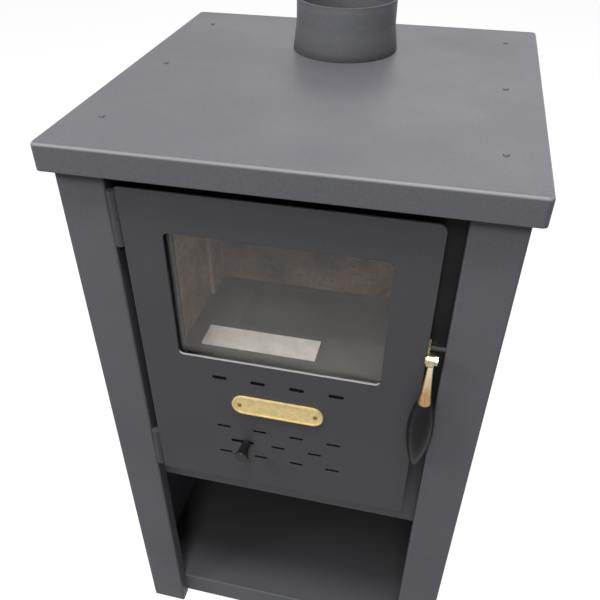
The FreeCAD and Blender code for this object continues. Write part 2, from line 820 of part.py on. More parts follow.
def hinge(name, z):
    """Lift-off hinge: the stove's half below with the pin, the door's half above."""
    half = (dim.hinge_length - dim.hinge_split) / 2
    door_z = z + half + dim.hinge_split
    knuckle(f"{name}_frame_knuckle", z, -1, True)
    knuckle(f"{name}_door_knuckle", door_z, 1, False)
    pin = doc.addObject("Part::Cylinder", f"{name}_hinge_pin")
    pin.setExpression("Radius", dim.pin_radius.formula)
    pin.setExpression("Height", (dim.pin_reach * 2 + dim.hinge_split - dim.slide_play).formula)
    keep(pin, f"{name}_hinge_pin", at.hinge_x, at.hinge_y, z + half - dim.pin_reach)


# Door


def row_starts():
    """Slots of the lower rows: height, first slot's place from the door's middle, and how many."""
    first = -at.slot_pitch * (SLOTS_IN_ROW - 1) / 2
    yield at.lower_row_z, first, SLOTS_IN_ROW
    yield at.stem_row_z, ZERO, SLOTS_IN_ROW - 2
    yield at.stem_row_z - dim.slot_row_pitch, first, SLOTS_IN_ROW


def door_panel():
    """Flat plate with the window, four rows of air slots and the long slot of the air control."""
    body = new_body("door_panel", ZERO, at.face_y)
    face = sketch_on(body, "XZ_Plane")
    corner_rectangle(face, at.door_left_x, at.door_bottom_z, at.door_right_x, at.door_top_z,
                     (dim.door_hinge_corner, dim.door_corner, dim.door_corner, dim.door_hinge_corner))
    pad(body, face, dim.door_sheet, reverse=True)
    window = sketch_on(body, "XZ_Plane")
    half = at.window_width / 2
    round_rectangle(window, at.door_x - half, at.window_bottom_z, at.door_x + half, at.window_top_z,
                    dim.window_corner)
    cut_through(body, window)
    long_slot = sketch_on(body, "XZ_Plane")
    slot(long_slot, at.stem_slot_x, at.stem_row_z, dim.stem_slot_length, dim.stem_slot_width)
    cut_through(body, long_slot)
    upper = sketch_on(body, "XZ_Plane")
    slot(upper, at.door_x - at.slot_pitch * (SLOTS_IN_ROW - 1) / 2, at.door_top_z - dim.upper_slot_drop,
         dim.upper_slot_length, dim.upper_slot_width)
    repeat(body, cut_through(body, upper), upper, "H_Axis", at.slot_pitch, SLOTS_IN_ROW)
    for height, first, count in row_starts():
        row = sketch_on(body, "XZ_Plane")
        slot(row, at.door_x + first, height, dim.slot_length, dim.slot_width)
        repeat(body, cut_through(body, row), row, "H_Axis", at.slot_pitch, count)


def ring(sketch, inset, radius):
    """Rounded rectangle that keeps the same distance from the door's edges."""
    round_rectangle(sketch, at.door_left_x + inset, at.door_bottom_z + inset,
                    at.door_right_x - inset, at.door_top_z - inset, radius)


def seal_channel():
    """Channel on the door's back, all the way round, that holds the rope."""
    body = new_body("seal_channel", ZERO, at.door_back_y)
    half = dim.channel_width / 2
    foot = sketch_on(body, "XZ_Plane")
    ring(foot, dim.seal_inset, dim.channel_corner + half)
    ring(foot, dim.seal_inset + dim.channel_width, dim.channel_corner - half)
    pad(body, foot, dim.channel_height, reverse=True)
    groove = sketch_on(body, "XZ_Plane", -dim.channel_height)
    ring(groove, dim.seal_inset + dim.channel_sheet, dim.channel_corner + half - dim.channel_sheet)
    ring(groove, dim.seal_inset + dim.channel_width - dim.channel_sheet,
         dim.channel_corner - half + dim.channel_sheet)
    cut_deep(body, groove, dim.channel_height - dim.channel_sheet, reverse=True)


def door_seal():
    """Rope that closes the gap between the door and the front plate."""
    radius = dim.channel_width / 2 - dim.channel_sheet - dim.rope_play
    inset = dim.seal_inset + dim.channel_width / 2
    body = new_body("door_seal", ZERO, at.plate_y - dim.rope_gap - radius)
    path = sketch_on(body, "XZ_Plane")
    ring(path, inset, dim.channel_corner)
    section = sketch_on(body, "YZ_Plane", at.door_x)
    circle(section, ZERO, at.door_bottom_z + inset, radius)
    rope = body.newObject("PartDesign::AdditivePipe", "rope")
    rope.Profile = section
    rope.Spine = (path, [])


def glass_gasket():
    """Flat tape between the door plate and the glass."""
    body = new_body("glass_gasket", ZERO, at.door_back_y)
    face = sketch_on(body, "XZ_Plane")
    for lap in (dim.glass_lap, dim.glass_lap - dim.gasket_width):
        half = at.window_width / 2 + lap
        rectangle(face, at.door_x - half, at.window_bottom_z - lap, at.door_x + half, at.window_top_z + lap)
    pad(body, face, dim.gasket_thickness, reverse=True)


def door_glass():
    width = at.window_width + dim.glass_lap * 2
    block("door_glass", at.door_x - width / 2, at.glass_y, at.window_bottom_z - dim.glass_lap,
          width, dim.glass_thickness, dim.window_height + dim.glass_lap * 2)


def clip_places():
    """Side and height of the four glass clips."""
    for side in (-1, 1):
        yield side, at.window_bottom_z + dim.clip_margin
        yield side, at.window_top_z - dim.clip_margin


def clip_screw_x(side):
    edge = at.window_width / 2 + dim.glass_lap + dim.clip_play + dim.clip_sheet
    return (edge + dim.clip_foot / 2) * side


def glass_clips():
    """Bent clips that hold the glass: a foot on the door, a step and a lip over the glass."""
    body = new_body("glass_clips", at.door_x, at.door_back_y)
    rise = dim.gasket_thickness + dim.glass_thickness
    for side, height in clip_places():
        edge = (at.window_width / 2 + dim.glass_lap + dim.clip_play) * side
        outer = edge + dim.clip_sheet * side
        tip = edge - (dim.clip_play + dim.clip_lip) * side
        toe = outer + dim.clip_foot * side
        section = sketch_on(body, "XY_Plane", height - dim.clip_width / 2)
        outline(section, [
            (tip, rise), (edge, rise), (edge, ZERO), (toe, ZERO), (toe, dim.clip_sheet),
            (outer, dim.clip_sheet), (outer, rise + dim.clip_sheet), (tip, rise + dim.clip_sheet)])
        pad(body, section, dim.clip_width)
    holes = sketch_on(body, "XZ_Plane")
    for side, height in clip_places():
        circle(holes, clip_screw_x(side), height, dim.screw_radius + dim.screw_fit)
    cut_through(body, holes)


def clip_screws():
    """Studs on the door's back with round nuts on the clips."""
    body = new_body("clip_screws", at.door_x, at.door_back_y)
    shanks = sketch_on(body, "XZ_Plane")
    heads = sketch_on(body, "XZ_Plane", -dim.clip_sheet)
    for side, height in clip_places():
        circle(shanks, clip_screw_x(side), height, dim.screw_radius)
        circle(heads, clip_screw_x(side), height, dim.screw_head_radius)
    pad(body, shanks, dim.clip_sheet + dim.screw_head_height, reverse=True)
    pad(body, heads, dim.screw_head_height, reverse=True)


def name_plate():
    """Bare brass plate with a raised rim."""
    body = new_body("name_plate", at.door_x, at.face_y, at.door_top_z - dim.plate_drop)
    face = sketch_on(body, "XZ_Plane")
    slot(face, ZERO, ZERO, dim.plate_width, dim.plate_height)
    pad(body, face, dim.plate_thickness)
    field = sketch_on(body, "XZ_Plane", dim.plate_thickness)
    slot(field, ZERO, ZERO, dim.plate_width - dim.plate_rim * 2, dim.plate_height - dim.plate_rim * 2)
    cut_deep(body, field, dim.plate_recess)


def name_plate_rivets():
    """Two domed rivet heads on the plate."""
    body = new_body("name_plate_rivets", at.door_x, at.face_y - dim.plate_thickness + dim.plate_recess,
                    at.door_top_z - dim.plate_drop)
    face = sketch_on(body, "XZ_Plane")
    for side in (-1, 1):
        circle(face, dim.plate_rivet_pitch / 2 * side, ZERO, dim.plate_rivet_radius)
    head = pad(body, face, dim.plate_rivet_height)
    crown = -dim.plate_rivet_height.number
    fillet(body, head, dim.plate_rivet_height * CROWN_SHARE,
           lambda edge: all(v.Y < crown + NEAR for v in edge.Vertexes))


# Air control


def slide_guides():
    """Two rebated bars on the door's back that the slide runs between."""
    reach = at.door_width / 2 - dim.seal_inset - dim.channel_width - dim.guide_gap
    body = new_body("slide_guides", at.door_x - reach, at.door_back_y, at.stem_row_z)
    depth = dim.slide_sheet + dim.slide_play * 2
    inner = dim.slide_height / 2 + dim.slide_play
    for side in (-1, 1):
        section = sketch_on(body, "YZ_Plane")
        outline(section, [
            (ZERO, inner * side), (depth, inner * side), (depth, (inner - dim.guide_lip) * side),
            (depth + dim.guide_sheet, (inner - dim.guide_lip) * side),
            (depth + dim.guide_sheet, (inner + dim.guide_foot) * side),
            (ZERO, (inner + dim.guide_foot) * side)])
        pad(body, section, reach * 2)


def slide_reach():
    """From the middle of the slide to its end."""
    return at.slot_pitch * (SLOTS_IN_ROW - 1) / 2 + dim.slot_length / 2 + dim.slide_margin


def air_slide():
    """Plate behind the lower slots, with slots that meet those of the door when it is pushed right."""
    middle = at.door_x - dim.slide_shift
    body = new_body("air_slide", ZERO, at.slide_y)
    face = sketch_on(body, "XZ_Plane")
    rectangle(face, middle - slide_reach(), at.slide_bottom_z, middle + slide_reach(), at.slide_top_z)
    pad(body, face, dim.slide_sheet, reverse=True)
    hole = sketch_on(body, "XZ_Plane")
    circle(hole, at.stem_x, at.stem_row_z, dim.stem_radius + dim.stem_fit)
    cut_through(body, hole)
    for height, first, count in row_starts():
        row = sketch_on(body, "XZ_Plane")
        slot(row, middle + first, height, dim.slot_length, dim.slot_width)
        repeat(body, cut_through(body, row), row, "H_Axis", at.slot_pitch, count)


def air_stem():
    """Pin through the long slot, with its head behind the slide."""
    body = new_body("air_stem", at.stem_x, at.slide_y + dim.slide_sheet, at.stem_row_z)
    section = sketch_on(body, "XY_Plane")
    front = -(dim.slide_sheet + dim.slide_play + dim.door_sheet + dim.knob_gap + dim.stem_bite)
    outline(section, [
        (ZERO, front), (dim.stem_radius, front), (dim.stem_radius, ZERO), (dim.stem_head_radius, ZERO),
        (dim.stem_head_radius, dim.stem_head_height), (ZERO, dim.stem_head_height)])
    revolve(body, section, "V_Axis")


def air_knob():
    """Trumpet-shaped knob, narrow in the middle and wide at its end."""
    body = new_body("air_knob", at.stem_x, at.face_y - dim.knob_gap, at.stem_row_z)
    section = sketch_on(body, "XY_Plane")
    flare_start = -dim.knob_base_length
    flare_end = dim.knob_rim - dim.knob_length
    spread = dim.knob_end_radius - dim.knob_neck_radius
    run = flare_start - flare_end
    flare = (spread * spread + run * run) / (spread * 2)
    dome = dim.knob_rim / 2
    bore = dim.stem_radius + dim.stem_fit
    outline(section, [
        (ZERO, -dim.knob_length), (dim.knob_end_radius - dome, -dim.knob_length),
        (dim.knob_end_radius, dome - dim.knob_length), (dim.knob_end_radius, flare_end),
        (dim.knob_neck_radius, flare_start), (dim.knob_base_radius, ZERO), (bore, ZERO),
        (bore, -dim.stem_bite - dim.stem_fit), (ZERO, -dim.stem_bite - dim.stem_fit)],
        {1: (dome, 1), 3: (flare, -1)})
    revolve(body, section, "V_Axis")


# Handle and latch


def handle_bracket():
    """Ear on the door's right edge that carries the pivot bolt."""
    body = new_body("handle_bracket", at.door_right_x, at.pivot_y, at.pivot_z)
    section = sketch_on(body, "YZ_Plane")
    rear = dim.handle_standoff + dim.door_sheet
    half = dim.bracket_height / 2
    outline(section, [
        (ZERO, -dim.eye_radius), (rear, -half), (rear, half), (ZERO, dim.eye_radius),
        (-dim.eye_radius, ZERO)],
        {3: (dim.eye_radius, 1), 4: (dim.eye_radius, 1)})
    pad(body, section, dim.bracket_sheet)
    hole = sketch_on(body, "YZ_Plane")
    circle(hole, ZERO, ZERO, dim.bolt_radius + dim.bolt_fit)
    cut_through(body, hole)


def pivot_bolt():
    """Bolt through the bracket and the lever, along X."""
    body = new_body("pivot_bolt", at.door_right_x, at.pivot_y, at.pivot_z)
    section = sketch_on(body, "XY_Plane")
    end = dim.bracket_sheet + dim.lever_play * 2 + dim.lever_thickness + dim.nut_thickness + dim.bolt_end
    crown = dim.bolt_head_height / 2
    outline(section, [
        (-dim.bolt_head_height, ZERO), (ZERO, ZERO), (end, ZERO), (end, dim.bolt_radius),
        (ZERO, dim.bolt_radius),
        (ZERO, dim.bolt_head_radius), (-crown, dim.bolt_head_radius),
        (-dim.bolt_head_height, dim.bolt_head_radius - crown)], {6: (crown, 1)})
    revolve(body, section, "H_Axis")


def pivot_nut():
    """Hexagon nut on the end of the bolt, just clear of the lever."""
    nut = doc.addObject("Part::Prism", "nut_blank")
    nut.Polygon = 6
    nut.setExpression("Circumradius", dim.nut_radius.formula)
    nut.setExpression("Height", dim.nut_thickness.formula)
    bore = doc.addObject("Part::Cylinder", "nut_bore")
    bore.setExpression("Radius", (dim.bolt_radius + dim.bolt_fit).formula)
    bore.setExpression("Height", dim.nut_thickness.formula)
    piece = doc.addObject("Part::Cut", "pivot_nut")
    piece.Base = nut
    piece.Tool = bore
    piece.Placement.Rotation = Rotation(Vector(0, 1, 0), FULL_TURN / 4)
    keep(piece, "pivot_nut", at.lever_x + dim.lever_thickness + dim.lever_play, at.pivot_y, at.pivot_z)


def latch_lever():
    """Eye on the bolt, arm that reaches under the keeper with its tip up behind it, and a round tang."""
    body = new_body("latch_lever", at.lever_x, at.pivot_y, at.pivot_z)
    section = sketch_on(body, "YZ_Plane")
    keeper_y = dim.handle_standoff + dim.keeper_setback
    arm_top = dim.keeper_rise - dim.keeper_radius - dim.latch_play
    inner = keeper_y + dim.keeper_radius + dim.latch_play
    outer = inner + dim.hook_thickness
    tip = dim.keeper_rise + dim.keeper_radius + dim.hook_cover
    round_off = dim.hook_thickness / 2
    outline(section, [
        (ZERO, -dim.eye_radius), (outer - round_off, -dim.eye_radius), (outer, round_off - dim.eye_radius),
        (outer, tip - round_off), (outer - round_off, tip), (inner, tip), (inner, arm_top),
        (dim.eye_radius, arm_top), (dim.eye_radius, ZERO), (ZERO, dim.eye_radius), (-dim.eye_radius, ZERO)],
        {1: (round_off, 1), 3: (round_off, 1), 8: (dim.eye_radius, 1), 9: (dim.eye_radius, 1),
         10: (dim.eye_radius, 1)})
    pad(body, section, dim.lever_thickness)
    tang = sketch_on(body, "XY_Plane", -dim.eye_radius)
    circle(tang, dim.lever_thickness / 2, ZERO, dim.tang_radius)
    length = dim.ferrule_length + dim.grip_length - dim.tang_end
    pad(body, tang, length, reverse=True)
    root = sketch_on(body, "XY_Plane", -dim.eye_radius)
    circle(root, dim.lever_thickness / 2, ZERO, dim.tang_radius)
    pad(body, root, dim.eye_radius - dim.bolt_radius - dim.lever_play)
    hole = sketch_on(body, "YZ_Plane")
    circle(hole, ZERO, ZERO, dim.bolt_radius + dim.bolt_fit)
    cut_through(body, hole)


def handle_ferrule():
    """Flaring brass sleeve between the lever and the grip."""
    body = new_body("handle_ferrule", at.handle_x, at.pivot_y, at.pivot_z - dim.eye_radius - dim.lever_play)
    section = sketch_on(body, "XZ_Plane")
    spread = dim.ferrule_rim_radius - dim.ferrule_neck_radius
    length = dim.ferrule_length - dim.lever_play
    flare = (spread * spread + length * length) / (spread * 2)
    bore = dim.tang_radius + dim.tang_fit
    outline(section, [
        (bore, -length), (dim.ferrule_rim_radius, -length), (dim.ferrule_neck_radius, ZERO), (bore, ZERO)],
        {1: (flare * 2, -1)})
    revolve(body, section, "V_Axis")


def handle_grip():
    """Spindle-shaped grip, widest above its middle, with a flat tip."""
    body = new_body("handle_grip", at.handle_x, at.pivot_y, at.pivot_z - dim.eye_radius - dim.ferrule_length)
    section = sketch_on(body, "XZ_Plane")
    bore = dim.tang_radius + dim.tang_fit
    depth = dim.grip_length - dim.tang_end + dim.tang_fit
    upper = arc_radius(dim.grip_radius - dim.grip_top_radius, dim.grip_swell)
    lower = arc_radius(dim.grip_radius - dim.grip_tip_radius, dim.grip_length - dim.grip_swell)
    outline(section, [
        (ZERO, -dim.grip_length), (dim.grip_tip_radius, -dim.grip_length), (dim.grip_radius, -dim.grip_swell),
        (dim.grip_top_radius, ZERO), (bore, ZERO), (bore, -depth), (ZERO, -depth)],
        {1: (lower, 1), 2: (upper, 1)})
    revolve(body, section, "V_Axis")


def arc_radius(rise, run):
    """Radius of an arc that is level at one end and has risen by rise after run."""
    return (rise * rise + run * run) / (rise * 2)


def latch_keeper():
    """Pin on the right flange's return that the lever hooks behind."""
    pin = doc.addObject("Part::Cylinder", "latch_keeper")
    pin.setExpression("Radius", dim.keeper_radius.formula)
    pin.setExpression("Height", (at.opening_x - at.lever_x).formula)
    pin.Placement.Rotation = Rotation(Vector(0, 1, 0), FULL_TURN / 4)
    keep(pin, "latch_keeper", at.lever_x, at.face_y + dim.keeper_setback, at.keeper_z)


def build():
    top_plate()
    top_rivets()
    flue_collar()
    rear_panel()
    front_plate()
    base_tray()
    store_ceiling()
    firebox_bottom()
    firebox_back()
    hearth_plate()
    hearth_insert()
    hearth_tile()
    rear_liner()
    baffle()
    ash_pan()
    for name, side in (("left", -1), ("right", 1)):
        side_panel(f"{name}_side_panel", side)
        top_rail(f"{name}_top_rail", side)
        firebox_wall(f"firebox_{name}_wall", side)
        hearth_rail(f"{name}_hearth_rail", side)
        side_liner(f"{name}_liner", side)
        corner_liner(f"{name}_corner_liner", side)
    for name, z in hinge_bottoms():
        hinge(name, z)
    door_panel()
    seal_channel()
    door_seal()
    glass_gasket()
    door_glass()
    glass_clips()
    clip_screws()
    name_plate()
    name_plate_rivets()
    slide_guides()
    air_slide()
    air_stem()
    air_knob()
    handle_bracket()
    pivot_bolt()
    pivot_nut()
    latch_lever()
    handle_ferrule()
    handle_grip()
    latch_keeper()
    doc.recompute()


def check():
    """Stops if any feature failed or any sub-part has no sound shape."""
    for item in doc.Objects:
        if "Invalid" in item.State or "Error" in item.State:
            raise RuntimeError(f"{item.Name} failed: {item.State}")
    for piece in pieces:
        if piece.Shape.isNull() or not piece.Shape.isValid():
            raise RuntimeError(f"{piece.Label} has no sound shape")


build()
check()
os.makedirs("parts", exist_ok=True)
for piece in pieces:
    piece.Shape.exportStep(f"parts/{piece.Label}.step")
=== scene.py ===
import math
from collections import namedtuple

import bmesh
import bpy
from mathutils import Matrix, Vector


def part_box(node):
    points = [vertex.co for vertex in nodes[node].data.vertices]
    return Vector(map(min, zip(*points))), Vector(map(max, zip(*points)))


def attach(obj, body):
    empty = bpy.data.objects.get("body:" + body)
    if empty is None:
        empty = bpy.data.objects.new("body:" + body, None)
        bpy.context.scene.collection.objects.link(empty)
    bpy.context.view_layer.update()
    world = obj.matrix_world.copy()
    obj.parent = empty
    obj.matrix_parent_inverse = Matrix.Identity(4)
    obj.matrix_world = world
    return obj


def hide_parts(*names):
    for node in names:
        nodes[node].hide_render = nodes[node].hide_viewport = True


# The steel wood stove: its finishes, its rope seal and glass tape, and the studio around it.
# Lengths are metres.

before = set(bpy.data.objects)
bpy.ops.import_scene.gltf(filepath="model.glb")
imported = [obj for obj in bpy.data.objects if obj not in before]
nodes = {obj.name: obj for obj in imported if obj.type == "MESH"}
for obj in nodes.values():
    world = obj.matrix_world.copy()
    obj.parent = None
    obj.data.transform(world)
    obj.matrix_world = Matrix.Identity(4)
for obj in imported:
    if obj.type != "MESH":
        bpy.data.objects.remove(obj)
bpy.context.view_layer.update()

# Camera, as fitted to the straight edges of the photograph
CAMERA_PLACE = Vector((0.1395, -0.7266, 1.0260))
CAMERA_PITCH = math.radians(-39.456)
CAMERA_YAW = math.radians(-14.045)
CAMERA_ROLL = math.radians(-0.276)
CAMERA_LENS = 40.463
CAMERA_SHIFT = (0.0189, 0.0620)
SENSOR_WIDTH = 36.0

# Colours of the painted sheets, linear
PAINT = (0.128, 0.129, 0.143, 1)
DOOR_PAINT = (0.077, 0.0755, 0.081, 1)
FRONT_PAINT = (0.098, 0.097, 0.104, 1)
INNER_PAINT = (0.055, 0.055, 0.058, 1)
# Painted shade for the recess round the door
RECESS_SHADE_PAINT = (0.022, 0.022, 0.023, 1)
# Painted highlight for the top plate's bends
BEND_HIGHLIGHT_PAINT = (0.25, 0.25, 0.265, 1)
TRAY_FLOOR = (0.100, 0.100, 0.106, 1)
# Painted highlight on the sill under the window
SILL_HIGHLIGHT = (0.275, 0.275, 0.283, 1)

# Colours of the fire's pieces
SOOT = (0.016, 0.015, 0.014, 1)
FIREBRICK = (0.56, 0.41, 0.32, 1)
FIREBRICK_DARK = (0.31, 0.215, 0.165, 1)
FIREBRICK_SMOKED = (0.10, 0.075, 0.060, 1)
HEARTH = (0.106, 0.103, 0.097, 1)
IRON = (0.082, 0.080, 0.076, 1)
ASH = (0.30, 0.28, 0.26, 1)
PALE_TILE = (0.94, 0.89, 0.83, 1)
TILE_GREY = (0.66, 0.61, 0.55, 1)
TILE_PIT = (0.30, 0.28, 0.25, 1)

# Colours of the fittings, the seal and the glass
BRASS = (0.98, 0.77, 0.35, 1)
# Painted highlight on the ferrule towards the pivot
PAINTED_HIGHLIGHT_BRASS = (0.80, 0.68, 0.46, 1)
COPPER_BRASS = (0.50, 0.31, 0.15, 1)
BRASS_DARK = (0.30, 0.18, 0.06, 1)
STEEL = (0.34, 0.33, 0.315, 1)
DULL_STEEL = (0.15, 0.15, 0.15, 1)
YELLOW_ZINC = (0.50, 0.41, 0.24, 1)
BLACK = (0.012, 0.012, 0.013, 1)
BLACK_RUBBED = (0.020, 0.020, 0.022, 1)
ROPE = (0.075, 0.073, 0.070, 1)
GLASS = (0.97, 0.965, 0.95, 1)
GLASS_SHADE = (0.965, 0.96, 0.95, 1)
GLASS_GLINT = (0.55, 0.55, 0.55, 1)
GLASS_INDEX = 1.47

# Colours of the studio, and the strength of its even light
WHITE = (1, 1, 1, 1)
FLOOR = (0.22, 0.22, 0.22, 1)
FLOOR_GLOW = (0.93, 0.93, 0.93, 1)
SKY = (0.95, 0.97, 1.0, 1)
SKY_STRENGTH = 0.13
FLOOR_HALF = 6.0

# Noise textures: waves to the metre, octaves, and how strong the fine octaves are
Grain = namedtuple("Grain", "scale octaves fineness", defaults=(0.55,))
CLOUDS = Grain(9, 5, 0.6)
FLAKES = Grain(1400, 2)
MOTTLE = Grain(330, 3, 0.7)
ORANGE_PEEL = Grain(520, 2)
SMOKE_STAINS = Grain(11, 6, 0.65)
CLAY_PORES = Grain(160, 5)
ASH_PATCHES = Grain(16, 6, 0.6)
SAND = Grain(260, 4)
BRASS_BLOOM = Grain(130, 5, 0.65)
RUB_MARKS = Grain(3, 3)
ZINC_CLOUDS = Grain(160, 4)
BRUSH_MARKS = Grain(4, 3)
RESIN_MARKS = Grain(90, 4, 0.6)
RESIN_SKIN = Grain(900, 2)
YARN = Grain(1500, 4)
TUFTS = Grain(190, 4)
TILE_CLOUDS = Grain(45, 5)
TILE_PITS = Grain(700, 3)

# How marks are stretched, by their waves along X, Y and Z
ACROSS = (60, 900, 900)
UPRIGHT = (230, 230, 12)
BRUSHED = (40, 40, 1100)

# Shares of a finish's own colour that its darker and lighter marks have
CLOUD_SHARE = 0.72
FLAKE_SHARE = 2.2
MOTTLE_SHARE = 0.62
# Lighter edges: a painted highlight, with a little scuffing
RUBBED_AND_HIGHLIGHT_SHARE = 2.6
PORE_SHARE = 0.5
SAND_SHARE = 0.5
ZINC_CLOUD_SHARE = 0.55
THREAD_SHARE = 2.3
TUFT_SHARE = 0.5

# How much smoother or rougher a finish is in its marks
PAINT_SMOOTHER = 0.05
PAINT_ROUGHER = 0.07
BRASS_ROUGHER = 0.06
STEEL_ROUGHER = 0.18
RESIN_ROUGHER = 0.06

# How softly edges are shaded
EDGE_SOFTNESS = 0.0009
COLLAR_SOFTNESS = 0.012
EDGE_SAMPLES = 4

# Shares of a face's direction along an axis, between which it counts as turned that way
TURNED_SHARES = (0.4, 0.6)
LEVEL_SHARES = (0.85, 0.98)
PAST_SKIRT_SHARES = (0.15, 0.5)
NEAR_LEVEL_SHARES = (0.8, 0.99)
RUBBED_AND_HIGHLIT_EDGE_SHARES = (0.75, 0.99)

# Height of the door's foot, above which painted shade darkens the front plate in the recess round the
# door, and the soft border there
DOOR_FOOT = 0.338
RECESS_SHADE_FADE = 0.095

# Heights between which the handle's ferrule turns from coppery to pale, a painted highlight towards the
# pivot
HIGHLIGHT_FOOT = 0.556
HIGHLIGHT_TOP = 0.592

# Heights between which the collar's paint turns from heat-dull with painted shade at its foot to plain
COLLAR_FOOT = 0.778
COLLAR_TOP = 0.815
DULLED_AND_SHADED_SHARE = 0.55

# Depths between which the store's floor turns from its front colour to painted shade towards the back
FLOOR_SHADE_START = -0.170
FLOOR_SHADE_FULL = -0.020

# Where the door's air slots are: below this height and this near the middle plane
SLOTS_TOP = 0.520
SLOTS_REACH = 0.110
SLOTS_FADE = 0.004

# Where the window's cut edge is, by its middle height, and how far it reaches up and aside
WINDOW_MIDDLE = 0.610
WINDOW_REACH = 0.085
WINDOW_SIDE = 0.130

# Rope seal and glass tape
ROPE_BRAIDS = 6
ROPE_STEP = 0.0016
ROPE_SIDES = 30
ROPE_LAY = 0.011
ROPE_RELIEF_SHARE = 0.27
ROPE_CORNER = 0.009
CORNER_STEPS = 12
TAPE_WIDTH = 0.009
TAPE_EDGE = 0.0006
TAPE_EDGE_STEPS = 2
TINY_LENGTH = 1e-9

# Lamps: place, what they point at, size and watts
Lamp = namedtuple("Lamp", "name place target width depth power")
LAMPS = (
    Lamp("overhead", (0.0, 0.95, 2.5), (0, 0, 0.7), 1.6, 1.2, 7),
    Lamp("key", (0.1, -0.66, 2.5), (0, -0.2, 0.7), 0.5, 0.4, 23),
    Lamp("low", (0.1, -1.6, 2.0), (0, -0.1, 0.5), 0.5, 0.4, 15.5),
    Lamp("left", (-1.2, -0.9, 1.7), (-0.2, -0.2, 0.6), 0.6, 0.6, 10),
    Lamp("rear", (0.3, 2.6, 2.2), (0, 0, 0.7), 2.2, 0.8, 13),
)


# Node helpers


def new_material(name):
    """A material with one Principled shader, its node tree and that shader."""
    material = bpy.data.materials.new(name)
    material.use_nodes = True
    tree = material.node_tree
    return material, tree, tree.nodes["Principled BSDF"]


def connect(tree, socket, value):
    """Links an input to an output, or gives it a constant."""
    if isinstance(value, bpy.types.NodeSocket):
        tree.links.new(value, socket)
    else:
        socket.default_value = value


def fill(tree, node, **inputs):
    """Connects a node's inputs by name, with underscores for spaces."""
    for name, value in inputs.items():
        connect(tree, node.inputs[name.replace("_", " ")], value)


def add(tree, kind, **settings):
    """Adds a node. Names that start in upper case are its inputs, the others its own options."""
    node = tree.nodes.new(kind)
    for name, value in settings.items():
        if name[0].isupper():
            fill(tree, node, **{name: value})
        else:
            setattr(node, name, value)
    return node


def computed(tree, operation, *values):
    """The result of an operation on one to three values."""
    node = add(tree, "ShaderNodeMath", operation=operation)
    for socket, value in zip(node.inputs, values):
        connect(tree, socket, value)
    return node.outputs["Value"]


def place_on(tree, stretch=(1, 1, 1)):
    """Coordinates in the stove's own frame, in metres, stretched along its axes."""
    source = add(tree, "ShaderNodeTexCoord")
    mapping = add(tree, "ShaderNodeMapping", Vector=source.outputs["Object"], Scale=stretch)
    return mapping.outputs["Vector"]


def spot_on(tree):
    """The same coordinates, each on its own."""
    return add(tree, "ShaderNodeSeparateXYZ", Vector=place_on(tree)).outputs


def facing_of(tree):
    """The surface's direction in the piece's own frame, so that it stays when the piece moves."""
    source = add(tree, "ShaderNodeTexCoord")
    return add(tree, "ShaderNodeSeparateXYZ", Vector=source.outputs["Normal"]).outputs


def noise(tree, where, grain):
    """A noise texture's value."""
    node = add(tree, "ShaderNodeTexNoise", Vector=where, Scale=grain.scale, Detail=grain.octaves,
               Roughness=grain.fineness)
    return node.outputs["Fac"]


def spread(tree, value, low, high, start=0.3, stop=0.7):
    """Maps the range from start to stop, by default a texture's middle, to the range from low to high."""
    node = add(tree, "ShaderNodeMapRange", Value=value, From_Min=start, From_Max=stop,
               To_Min=low, To_Max=high)
    return node.outputs["Result"]


def mixed(tree, factor, first, second):
    """A colour between first and second."""
    node = add(tree, "ShaderNodeMix", data_type="RGBA")
    for socket, value in ((node.inputs[0], factor), (node.inputs[6], first), (node.inputs[7], second)):
        connect(tree, socket, value)
    return node.outputs[2]


def shaded(colour, share):
    """A colour made darker or lighter."""
    return tuple(min(1, share * part) for part in colour[:3]) + (1,)


def lay_over(material, factor, colour):
    """Lays a colour over the material's own, as far as the factor says."""
    tree = material.node_tree
    base = tree.nodes["Principled BSDF"].inputs["Base Color"]
    under = base.links[0].from_socket
    tree.links.new(mixed(tree, factor, under, colour), base)


def relief(tree, shader, height, depth, strength, normal=None):
    """Gives the shader a fine relief, on the normal if there is one."""
    bump = add(tree, "ShaderNodeBump", Height=height, Distance=depth, Strength=strength)
    if normal is not None:
        tree.links.new(normal, bump.inputs["Normal"])
    tree.links.new(bump.outputs["Normal"], shader.inputs["Normal"])


# Finishes of painted sheet


